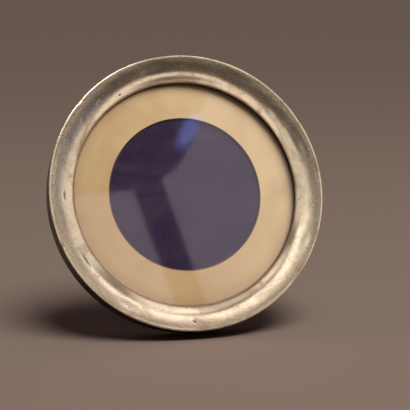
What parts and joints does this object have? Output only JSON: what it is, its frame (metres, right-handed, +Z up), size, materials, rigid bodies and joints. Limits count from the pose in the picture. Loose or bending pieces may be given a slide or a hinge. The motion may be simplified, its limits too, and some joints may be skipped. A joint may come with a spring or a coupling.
{
  "type": "round photo frame",
  "caption": "Round table photograph frame with a pressed silver front, glass, a mat with a round window, a velvet back held by turn-buttons and a hinged strut.",
  "frame": {"origin": "on the surface the frame stands on, under the middle of its outline, with the strut open", "axes": "+Z up, -Y out of the front (the face leans back towards +Y by 19 degrees), +X to the right seen from the front"},
  "size_m": [0.152, 0.078, 0.1488],
  "materials": {
    "silver": "worn polished silver, lightly tarnished",
    "silver_pins": "small dull brads",
    "ring_wood": "dark stained, satin",
    "glass": "clear picture glass",
    "mat": "cream mat board, aged, bevelled window",
    "lining_cloth": "deep violet ribbed cloth",
    "card": "grey pasteboard",
    "board_wood": "plain wood",
    "velvet": "dark violet velvet, worn at the edges",
    "facing_cloth": "dark violet silk cloth",
    "brass": "aged brass",
    "screw_brass": "brass",
    "steel_pin": "steel wire"
  },
  "bodies": {
    "root": {"silver_rim": "silver", "rim_pins": "silver_pins", "wood_ring": "ring_wood", "glass": "glass", "mat_board": "mat", "window_lining": "lining_cloth", "lining_card": "card", "packing_card": "card", "back_board": "board_wood", "back_velvet": "velvet", "ring_velvet": "velvet", "hinge_plate": "brass", "hinge_screws": "screw_brass", "hinge_pin": "steel_pin", "button_screws": "screw_brass"},
    "strut": {"strut_board": "board_wood", "strut_velvet": "velvet", "strut_facing": "facing_cloth", "strut_leaf": "brass", "leaf_rivets": "screw_brass"},
    "turn_button_1": {"turn_button_1": "brass"},
    "turn_button_2": {"turn_button_2": "brass"},
    "turn_button_3": {"turn_button_3": "brass"},
    "turn_button_4": {"turn_button_4": "brass"}
  },
  "joints": [
    {"name": "strut_fold", "type": "hinge", "parent": "root", "child": "strut", "pos_m": [0, 0.01378, 0.09069], "axis": [-1, 0, 0], "range_deg": [0, 30]},
    {"name": "button_turn_1", "type": "hinge", "parent": "root", "child": "turn_button_1", "pos_m": [0.04992, 0.0207, 0.11784], "axis": [0, 0.9455, -0.3256], "continuous": true},
    {"name": "button_turn_2", "type": "hinge", "parent": "root", "child": "turn_button_2", "pos_m": [-0.04992, 0.0207, 0.11784], "axis": [0, 0.9455, -0.3256], "continuous": true},
    {"name": "button_turn_3", "type": "hinge", "parent": "root", "child": "turn_button_3", "pos_m": [-0.04992, -0.01181, 0.02343], "axis": [0, 0.9455, -0.3256], "continuous": true},
    {"name": "button_turn_4", "type": "hinge", "parent": "root", "child": "turn_button_4", "pos_m": [0.04992, -0.01181, 0.02343], "axis": [0, 0.9455, -0.3256], "continuous": true}
  ]
}
